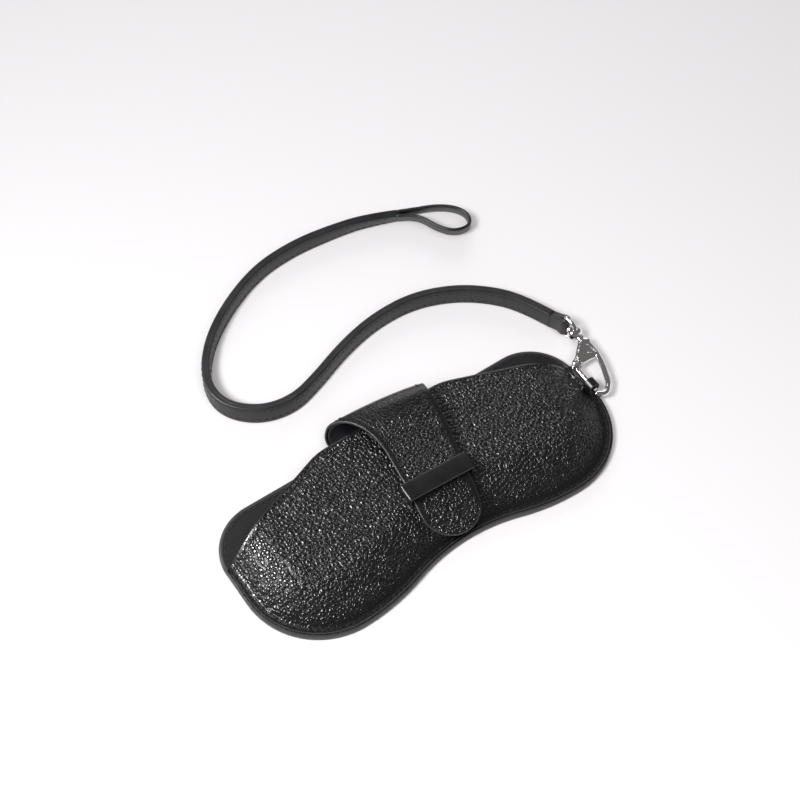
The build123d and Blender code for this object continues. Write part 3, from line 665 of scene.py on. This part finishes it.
def make_ring_fold(start):
    """One ply that leaves the strap, turns round the ring's bar and comes back beside itself."""
    low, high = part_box("strap_end_fold")
    bar = np.array([frame_joint("strap_pivot")[0], frame_joint("strap_pivot")[1], (low.z + high.z) / 2])
    toward = start - bar
    toward[2] = 0.0
    span = np.linalg.norm(toward)
    toward = toward / span
    across = np.cross([0, 0, 1.0], toward)
    radius = 0.7 * MM + PLY / 2
    plan = [(span, PLY / 2), (span * 0.66, PLY / 2), (2.2 * MM, PLY / 2 + 0.1 * MM)]
    for step in range(0, 9):
        angle = math.radians(65 + (360 - 130) * step / 8)
        plan.append((radius * math.cos(angle), radius * math.sin(angle)))
    plan += [(x, -y) for x, y in reversed(plan[:3])]
    drop = start[2] - bar[2]
    control = []
    for x, y in plan:
        rise = drop * max(x / span, 0.0) ** 1.5
        control.append(bar + toward * x + across * y + np.array([0, 0, rise]))
    line = even_line(spline_points(control, 12), 0.35 * MM)
    along = unit(np.gradient(line, axis=0))
    up = np.tile([0, 0, 1.0], (len(line), 1))
    ribbon = rounded_section(PLY, STRAP_WIDTH, (0.5 * MM,) * 4)
    fold = sweep("strap_ring_fold", line, unit(np.cross(up, along)), up, ribbon, [STRAP_LEATHER])
    return hand_over(fold, "strap", "smooth_leather", "strap_end_fold")


def frame_joint(name):
    """Where a joint's axis passes, in the rest frame."""
    return next(joint["pos_m"] for joint in frame["joints"] if joint["name"] == name)


# ---------------------------------------------------------------- outline of the case
def lower_edge(x):
    """Y of the outline's lower edge."""
    side = np.abs(x)
    waist = WAIST_Y + np.sqrt(np.maximum(WAIST_RADIUS ** 2 - side ** 2, 0))
    lobe = LOBE_Y - np.sqrt(np.maximum(LOBE_RADIUS ** 2 - (side - LOBE_X) ** 2, 0))
    end = END_Y - np.sqrt(np.maximum(END_RADIUS ** 2 - (side - LOBE_X) ** 2, 0))
    joined = np.where(side < WAIST_RADIUS * math.sin(WAIST_ANGLE), waist, lobe)
    return np.where(side > LOBE_X, end, joined)


def back_top_edge(x):
    """Y of the back panel's top edge, with its rounded corners."""
    past = np.maximum(np.abs(x) - (HALF_LENGTH - CORNER_RADIUS), 0)
    return BACK_TOP - CORNER_RADIUS + np.sqrt(np.maximum(CORNER_RADIUS ** 2 - past ** 2, 0))


def mouth_edge(x):
    """Y of the front panel's mouth edge, which falls away towards both ends."""
    past = np.abs(x) - MOUTH_TOP_HALF
    bend = MOUTH_SLOPE * (past + MOUTH_BLEND) ** 2 / (4 * MOUTH_BLEND)
    drop = np.where(past < -MOUTH_BLEND, 0, np.where(past > MOUTH_BLEND, MOUTH_SLOPE * past, bend))
    return MOUTH_TOP - drop


def inset_at(x, y):
    """Plan distance from a point inside the case to its outline."""
    x = np.abs(x)
    end = np.where(y > END_Y, HALF_LENGTH - x, END_RADIUS - np.hypot(x - LOBE_X, y - END_Y))
    waist = np.hypot(x, y - WAIST_Y) - WAIST_RADIUS
    lobe = LOBE_RADIUS - np.hypot(x - LOBE_X, y - LOBE_Y)
    middle = np.where(x < math.tan(WAIST_ANGLE) * (y - WAIST_Y), waist, lobe)
    return np.where(x > LOBE_X, end, middle)


def dome_height(inset):
    """Height of the front panel's outer face."""
    part = np.clip((inset - FLANGE_WIDTH) / DOME_WIDTH, 0, 1)
    return FLANGE_TOP + (DOME_TOP - FLANGE_TOP) * np.sin(math.pi / 2 * part) ** DOME_POWER


def softened(grid, rounds):
    """Heights of a grid smoothed along both directions, with its border left alone."""
    z = grid.copy()
    for _ in range(rounds):
        inner = z[1:-1, 1:-1] * 4 + z[:-2, 1:-1] + z[2:, 1:-1] + z[1:-1, :-2] + z[1:-1, 2:]
        z[1:-1, 1:-1] = inner / 8
    return z


def ripple(x, y):
    """Slow hand-made unevenness of a moulded panel, between about -1 and 1."""
    first = np.sin(x * 118 + 1.3) * np.sin(y * 143 + 0.4)
    second = np.sin(x * 61 - y * 88 + 2.1) * 0.7
    third = np.sin(x * 210 + y * 171) * 0.25
    return (first + second + third) / 2


COLUMNS = 281
columns_x = HALF_LENGTH * np.sin(math.pi / 2 * np.linspace(-1, 1, COLUMNS))


def panel_plan(top_edge, rows, power=1.25):
    """Plan positions of a panel's grid: rows run from its lower edge up to top_edge."""
    share = np.linspace(0, 1, rows)[:, None] ** power
    low, high = lower_edge(columns_x)[None, :], top_edge(columns_x)[None, :]
    y = low + (high - low) * share
    x = np.broadcast_to(columns_x[None, :], y.shape)
    return x, y


def make_front():
    """The moulded front panel and its lining."""
    x, y = panel_plan(mouth_edge, 111)
    inset = inset_at(x, y)
    z = softened(dome_height(inset), 6)
    fade = np.clip((inset - FLANGE_WIDTH) / DOME_WIDTH, 0, 1)
    z = z + UNEVEN * ripple(x, y) * fade
    z = z - RIM_GROOVE * np.exp(-((inset - RIM_SEAM) / RIM_GROOVE_WIDTH) ** 2)
    from_mouth = mouth_edge(x) - y
    groove = np.exp(-((from_mouth - MOUTH_SEAM) / MOUTH_GROOVE_WIDTH) ** 2)
    z = z - MOUTH_GROOVE * groove * (inset > 3 * MM)
    from_boss = np.hypot(x - HALF_LENGTH, y - frame_joint("gate_hinge")[1])
    z = z - HOOK_DENT * np.exp(-(from_boss / HOOK_DENT_SIZE) ** 2)
    grid = np.stack([x, y, z], axis=-1)
    pressed = 1 - np.clip((inset - 2.2 * MM) / (3.0 * MM), 0, 1)
    pressed = np.maximum(pressed, 1 - np.clip((from_mouth - 0.4 * MM) / (1.5 * MM), 0, 1))
    front = shell(
        "front_panel_leather", grid[::-1], LEATHER, BODY_LEATHER, EDGE, bulge=0.2, back=LINING,
        smooth=pressed[::-1],
    )
    hand_over(front, "case", "pebbled_leather", "front_panel")
    under = grid - np.array([0, 0, LEATHER + 0.05 * MM])
    keep = slice(2, -1)
    lining = shell("front_panel_lining", under[keep][::-1], FRONT_LINING, LINING, LINING, bulge=0.3)
    hand_over(lining, "case", "lining", "front_lining")
    return grid


def closed_outline(inset, count=900):
    """Points once round the back panel's outline, moved inwards, with outward directions."""
    top = np.stack([columns_x, back_top_edge(columns_x)], axis=-1)
    low = np.stack([columns_x, lower_edge(columns_x)], axis=-1)
    loop = np.concatenate([low, top[::-1][1:-1]])
    loop = np.column_stack([loop, np.zeros(len(loop))])
    closed = np.concatenate([loop, loop[:1]])
    total = lengths(closed)[-1]
    line = along_line(closed, np.linspace(0, total, count, endpoint=False))
    along = unit(np.roll(line, -1, axis=0) - np.roll(line, 1, axis=0))
    outward = np.cross(along, [0, 0, 1.0])
    return line - outward * inset, outward


def stack_top(points):
    """Height of the sewn rim at plan points: the front panel's flange, or the lining above the mouth."""
    above = points[:, 1] - mouth_edge(points[:, 0])
    share = np.clip(above / (7.0 * MM) + 0.5, 0, 1)
    share = share * share * (3 - 2 * share)
    return FLANGE_TOP + (LINING_TOP - FLANGE_TOP) * share


def make_back():
    """The flat back panel, its lining, and the painted edge that closes the rim."""
    x, y = panel_plan(back_top_edge, 61, 1.0)
    flat = np.stack([x, y, np.zeros_like(x)], axis=-1)
    back = shell("back_panel_leather", flat, LEATHER, BODY_LEATHER, EDGE, bulge=0.15, back=LINING)
    hand_over(back, "case", "pebbled_leather", "back_panel")
    inset = np.minimum(inset_at(x, y), back_top_edge(x) - y)
    sag = BACK_UNEVEN * ripple(x, y) * np.clip(inset / (8 * MM), 0, 1)
    inside = np.stack([x, y, LINING_TOP + sag - 0.02 * MM], axis=-1)
    lining = shell(
        "back_panel_lining", inside[1:-1, 1:-1][::-1], LINING_TOP - LEATHER, LINING, EDGE, bulge=0.1
    )
    hand_over(lining, "case", "lining", "back_lining")

    line, outward = closed_outline(0)
    top = stack_top(line)
    reach = 0.42 * MM
    profile = [
        (-0.9 * MM, -0.0, 0.02), (-0.15 * MM, 0.0, 0.03), (0.5 * reach, 0.0, 0.09), (reach, 0.0, 0.28),
        (reach, 0.0, 0.5), (reach, 0.0, 0.72), (0.55 * reach, 0.0, 0.91), (-0.15 * MM, 0.0, 0.99),
        (-0.9 * MM, 0.03 * MM, 1.0), (-1.25 * MM, -0.12 * MM, 1.0),
    ]
    rings = []
    for out, lift, share in profile:
        ring = line + outward * out
        ring[:, 2] = top * share + lift
        rings.append(ring)
    grid = np.stack(rings)
    vertices = grid.reshape(-1, 3)
    faces = quads(len(profile), len(line), wrap_b=True)
    last = (len(profile) - 1) * len(line)
    for k in range(len(line)):
        after = (k + 1) % len(line)
        faces.append([last + k, k, after, last + after])
    rim = make_mesh("rim_edge_coat", vertices, faces, [EDGE])
    fix_winding(rim)
    hand_over(rim, "case", "edge_paint", "rim_edge_paint")


def make_case_seams(front):
    """Thread round the rim and along the mouth."""
    line, _ = closed_outline(RIM_SEAM)
    line[:, 2] = stack_top(line) - 0.06 * MM
    up = np.tile([0, 0, 1.0], (len(line), 1))
    rim = stitching("rim_seam", stitches_along(line, up, SLANT), THREAD)
    hand_over(rim, "case", "thread", "rim_stitching")

    rows, columns = front.shape[:2]
    normals = grid_normals(front)
    if normals[rows // 2, columns // 2, 2] < 0:
        normals = -normals
    from_mouth = mouth_edge(front[..., 0]) - front[..., 1]
    picked, directions = [], []
    for j in range(columns):
        if abs(front[0, j, 0]) > HALF_LENGTH - 4.5 * MM:
            continue
        order = from_mouth[::-1, j]
        places = [np.interp(MOUTH_SEAM, order, front[::-1, j, k]) for k in range(3)]
        picked.append(places)
        directions.append([np.interp(MOUTH_SEAM, order, normals[::-1, j, k]) for k in range(3)])
    mouth = stitches_along(np.array(picked), np.array(directions), SLANT)
    piece = stitching("mouth_seam", mouth, THREAD)
    hand_over(piece, "case", "thread", "mouth_stitching")


# ---------------------------------------------------------------- flap
FLAP_CENTRE = (8.3 * MM, 31.5 * MM)
FLAP_YAW = math.radians(-10.0)
FLAP_THICK = 1.2 * MM
FLAP_LINING_THICK = 0.6 * MM
TIP_RADIUS = 12.0 * MM
ROOT_SEAMS = (-10.2 * MM, -2.5 * MM)
ROOT_SEAM_HALF = 16.0 * MM
# the two long edges of the line between leather and lining, in the flap's own frame
FLAP_LEFT = [
    (-0.0215, -0.0120, 0.0026), (-0.0285, -0.0030, 0.0026), (-0.0308, 0.0022, 0.0048),
    (-0.0278, 0.0048, 0.0106), (-0.0210, -0.0004, 0.0158), (-0.0155, -0.0085, 0.0166),
    (-0.0130, -0.0180, 0.0153), (-0.0126, -0.0250, 0.0142), (-0.0121, -0.0425, 0.0141),
    (-0.0119, -0.0605, 0.0090),
]
FLAP_RIGHT = [
    (0.0180, -0.0120, 0.0026), (0.0180, 0.0044, 0.0026), (0.0166, 0.0064, 0.0060),
    (0.0146, 0.0060, 0.0118), (0.0134, 0.0022, 0.0174), (0.0143, -0.0055, 0.0168),
    (0.0144, -0.0150, 0.0156), (0.0136, -0.0250, 0.0142), (0.0121, -0.0425, 0.0141),
    (0.0119, -0.0605, 0.0090),
]
# along the flap's length, where its fold is and how much fuller it is there
FLAP_FOLD_SHARE = 0.33
FLAP_FOLD_CROWN = 1.0 * MM
# how much of the grain the bent leather has lost there, and over what share of the length
FLAP_FOLD_STRETCH = 0.75
FLAP_FOLD_REACH = 0.13


def flap_to_frame(points):
    """Points of the flap's own frame, turned and moved onto the case."""
    c, s = math.cos(FLAP_YAW), math.sin(FLAP_YAW)
    x = c * points[..., 0] - s * points[..., 1] + FLAP_CENTRE[0]
    y = s * points[..., 0] + c * points[..., 1] + FLAP_CENTRE[1]
    return np.stack([x, y, points[..., 2]], axis=-1)


def flap_grid(lift, rows=150, columns=41):
    """The flap at a height above its leather-to-lining line, with the tip's arc as its last row."""
    left = spline_points(FLAP_LEFT, 24)
    right = spline_points(FLAP_RIGHT, 24)
    middle = (left + right) / 2
    total = lengths(middle)[-1]
    across = np.linspace(-1, 1, columns)
    end = total - TIP_RADIUS * (1 - np.sqrt(np.maximum(1 - across ** 2, 0)))
    share = np.linspace(0, 1, rows)
    grid = np.zeros((rows, columns, 3))
    at = lengths(middle)
    for j, side in enumerate(across):
        places = share * end[j]
        a = np.stack([np.interp(places, at, left[:, k]) for k in range(3)], axis=-1)
        b = np.stack([np.interp(places, at, right[:, k]) for k in range(3)], axis=-1)
        grid[:, j] = a + (b - a) * (side + 1) / 2
    normals = grid_normals(grid)
    top_row = rows // 2
    if normals[top_row, columns // 2, 2] < 0:
        normals = -normals
    fullness = 0.35 * MM + FLAP_FOLD_CROWN * np.exp(-((share - FLAP_FOLD_SHARE) / 0.10) ** 2)
    crown = (fullness[:, None] * (1 - across ** 2)[None, :])[..., None]
    return flap_to_frame(grid + normals * (lift + crown))


def make_flap():
    """The flap's leather and lining, which bend where the flap leaves the pocket, and its seams."""
    outer = flap_grid(FLAP_THICK)
    rows, columns = outer.shape[:2]
    across = np.abs(np.linspace(-1, 1, columns))[None, :]
    share = np.linspace(0, 1, rows)[:, None]
    stretched = FLAP_FOLD_STRETCH * np.exp(-((share - FLAP_FOLD_SHARE) / FLAP_FOLD_REACH) ** 2)
    pressed = np.maximum(np.clip((across - 0.80) / 0.08, 0, 1), stretched)
    turned = outer[:, ::-1] if grid_normals(outer)[rows // 2, columns // 2, 2] < 0 else outer
    pressed = pressed[:, ::-1] if turned is not outer else pressed
    leather = shell("flap_leather_sheet", turned, FLAP_THICK, FLAP_LEATHER, EDGE, bulge=0.35, smooth=pressed)
    inner = flap_grid(-0.02 * MM)
    turned = inner[:, ::-1] if turned is not outer else inner
    lining = shell("flap_lining_sheet", turned[:-1, 1:-1], FLAP_LINING_THICK, LINING, EDGE, bulge=0.35)

    places = []
    for column in (3, columns - 4):
        line = outer[30:-26, column]
        up = grid_normals(outer)[30:-26, column]
        up = up if up[len(up) // 2, 2] > 0 else -up
        places += stitches_along(line, up, SLANT)
    seam = stitching("flap_seam", places, THREAD)

    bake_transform(leather)
    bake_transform(lining)
    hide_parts("flap_root_leather", "flap_bend_leather", "flap_leather", "tongue_leather")
    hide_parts("flap_root_lining", "flap_bend_lining", "flap_lining", "tongue_lining")
    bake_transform(seam)
    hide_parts("flap_stitching")

    places = []
    z = LEATHER + FLAP_THICK + FLAP_LINING_THICK
    for y in ROOT_SEAMS:
        line = np.array([(x, y, z) for x in np.linspace(-ROOT_SEAM_HALF, ROOT_SEAM_HALF, 40)])
        places += stitches_along(flap_to_frame(line), np.tile([0, 0, 1.0], (40, 1)))
    root = stitching("flap_root_seam", places, THREAD)
    hand_over(root, "case", "thread", "flap_root_stitching")


# ---------------------------------------------------------------- keeper band
KEEPER_CENTRE = (2.0 * MM, -5.6 * MM)
KEEPER_YAW = math.radians(-3.0)
KEEPER_HALF = 15.0 * MM
KEEPER_WIDTH = 7.6 * MM
KEEPER_THICK = 1.2 * MM
KEEPER_TOP = 16.9 * MM
KEEPER_BEND = 1.9 * MM
KEEPER_FOOT = 10.2 * MM


def make_keeper():
    """The smooth band over the tongue, whose ends dive through slits in the front."""
    h, top, bend = KEEPER_HALF, KEEPER_TOP, KEEPER_BEND
    side = [(-h, KEEPER_FOOT), (-h, top - 3 * MM), (-h, top - bend)]
    side += [(-h, top), (-h + bend, top), (-h + 4 * MM, top)]
    run = side + [(-x, z) for x, z in reversed(side)]
    line = even_line(spline_points([(x, 0, z) for x, z in run], 16), 0.3 * MM)
    across = np.linspace(-1, 1, 15) * KEEPER_WIDTH / 2
    grid = np.repeat(line[:, None, :], len(across), axis=1)
    grid[..., 1] = across[None, :]
    crown = 0.15 * MM * (1 - (across / (KEEPER_WIDTH / 2)) ** 2)
    normals = grid_normals(grid)
    if normals[len(line) // 2, 7, 2] < 0:
        grid, normals = grid[:, ::-1], -normals[:, ::-1]
    grid = grid + normals * crown[None, :, None]
    c, s = math.cos(KEEPER_YAW), math.sin(KEEPER_YAW)
    x = c * grid[..., 0] - s * grid[..., 1] + KEEPER_CENTRE[0]
    y = s * grid[..., 0] + c * grid[..., 1] + KEEPER_CENTRE[1]
    placed = np.stack([x, y, grid[..., 2]], axis=-1)
    band = shell("keeper_band_leather", placed, KEEPER_THICK, KEEPER_LEATHER, EDGE, bulge=0.3)
    hand_over(band, "case", "smooth_leather", "keeper_band")

    places = []
    for sign in (-1, 1):
        x = sign * (KEEPER_HALF + 1.6 * MM)
        line = []
        for y in np.linspace(-KEEPER_WIDTH / 2, KEEPER_WIDTH / 2, 20):
            px, py = c * x - s * y + KEEPER_CENTRE[0], s * x + c * y + KEEPER_CENTRE[1]
            line.append((px, py, float(dome_height(inset_at(px, py))) + 0.02 * MM))
        places += stitches_along(np.array(line), np.tile([0, 0, 1.0], (20, 1)), 0, 2.5 * MM, 1.9 * MM)
    seam = stitching("keeper_seam", places, THREAD)
    hand_over(seam, "case", "thread", "keeper_stitching")


# ---------------------------------------------------------------- snap hook
TAB_RADIUS = 1.75 * MM
TAB_THICK = 0.9 * MM


def cast_metal(name, node, body, voxel, rounds, material):
    """The node's shape with its edges melted together, as in a polished casting."""
    piece = bpy.data.objects.new(name, frame["nodes"][node].data.copy())
    piece.data.materials.clear()
    bpy.context.scene.collection.objects.link(piece)
    remesh = piece.modifiers.new("remesh", "REMESH")
    remesh.mode = "VOXEL"
    remesh.voxel_size = voxel
    relax = piece.modifiers.new("relax", "SMOOTH")
    relax.factor = 0.5
    relax.iterations = rounds
    graph = bpy.context.evaluated_depsgraph_get()
    mesh = bpy.data.meshes.new_from_object(piece.evaluated_get(graph))
    piece.modifiers.clear()
    piece.data = mesh
    mesh.materials.clear()
    mesh.materials.append(material)
    mesh.polygons.foreach_set("use_smooth", np.ones(len(mesh.polygons), bool))
    return hand_over(piece, body, "chrome", node)


def make_hook():
    """The snap hook, its gate, the swivel's ring and the leather loop that holds them."""
    cast_metal("snap_hook_casting", "hook_body", "hook", 0.16 * MM, 10, CHROME)
    cast_metal("snap_hook_gate", "gate", "gate", 0.12 * MM, 6, CHROME)
    cast_metal("swivel_ring", "swivel_eye", "ring", 0.12 * MM, 6, CHROME)
    for node in ("gate_pin", "gate_spring", "swivel_stem"):
        frame["nodes"][node].data.materials.clear()
        frame["nodes"][node].data.materials.append(STEEL)

    low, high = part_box("hook_tab")
    joint = frame_joint("hook_swing")
    centre_x, centre_z = joint[0], joint[2]
    radius = TAB_RADIUS
    run = [(low.x, 3.3 * MM), (low.x + 2 * MM, 3.3 * MM), (centre_x + 0.9 * MM, 3.1 * MM)]
    for step in range(0, 10):
        angle = math.radians(-50 + 280 * step / 9)
        run.append((centre_x + radius * math.cos(angle), centre_z + radius * math.sin(angle)))
    run.append((centre_x - 0.2 * MM, 4.5 * MM))
    line = even_line(spline_points([(x, 0, z) for x, z in run], 10), 0.25 * MM)
    across = np.linspace(low.y, high.y, 15)
    grid = np.repeat(line[:, None, :], len(across), axis=1)
    grid[..., 1] = across[None, :]
    tab = shell("hook_tab_leather", grid, TAB_THICK, KEEPER_LEATHER, EDGE, bulge=0.3)
    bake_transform(tab)
    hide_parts("hook_tab")


# ---------------------------------------------------------------- stage
def make_stage():
    """A plain pale floor, soft light from the left, and a pale room."""
    plane = bpy.data.meshes.new("floor")
    size, low = 6.0, -0.15 * MM
    corners = [(-size, -size, low), (size, -size, low), (size, size, low), (-size, size, low)]
    plane.from_pydata(corners, [], [(0, 1, 2, 3)])
    floor = bpy.data.objects.new("floor", plane)
    bpy.context.scene.collection.objects.link(floor)
    s = Shader("floor")
    s.set(Base_Color=(0.84, 0.82, 0.835, 1), Roughness=0.75, Specular_IOR_Level=0.2)
    plane.materials.append(s.material)

    world = bpy.context.scene.world or bpy.data.worlds.new("world")
    bpy.context.scene.world = world
    world.use_nodes = True
    background = world.node_tree.nodes["Background"]
    background.inputs[0].default_value = (1.0, 0.985, 0.995, 1)
    background.inputs[1].default_value = 0.14

    key = soft_light("key", (-0.50, -0.11, 0.75), 0.22, 6.8)
    key.visible_glossy = False
    fill = soft_light("fill", (-0.10, -0.45, 1.0), 0.9, 6.2)
    fill.visible_glossy = False
    glint = soft_light("glint", (-0.300, 0.190, 0.330), 0.13, 4.2)
    glint.visible_diffuse = False
    soft_light("wall", (0.55, 0.80, 0.42), 0.7, 2.6)
    bpy.context.scene.view_settings.view_transform = "Standard"


def soft_light(name, place, size, power):
    """A square soft light that faces the middle of the object."""
    data = bpy.data.lights.new(name, "AREA")
    data.size = size
    data.energy = power
    light = bpy.data.objects.new(name, data)
    bpy.context.scene.collection.objects.link(light)
    light.location = place
    aim = Vector(place) - Vector((0.0, 0.02, 0.0))
    light.rotation_mode = "QUATERNION"
    light.rotation_quaternion = aim.to_track_quat("Z", "Y")
    return light


make_strap()
front_grid = make_front()
make_back()
make_case_seams(front_grid)
make_flap()
make_keeper()
make_hook()
stiffener = frame["nodes"]["back_stiffener"]
stiffener.data.materials.clear()
stiffener.data.materials.append(BOARD)
make_stage()
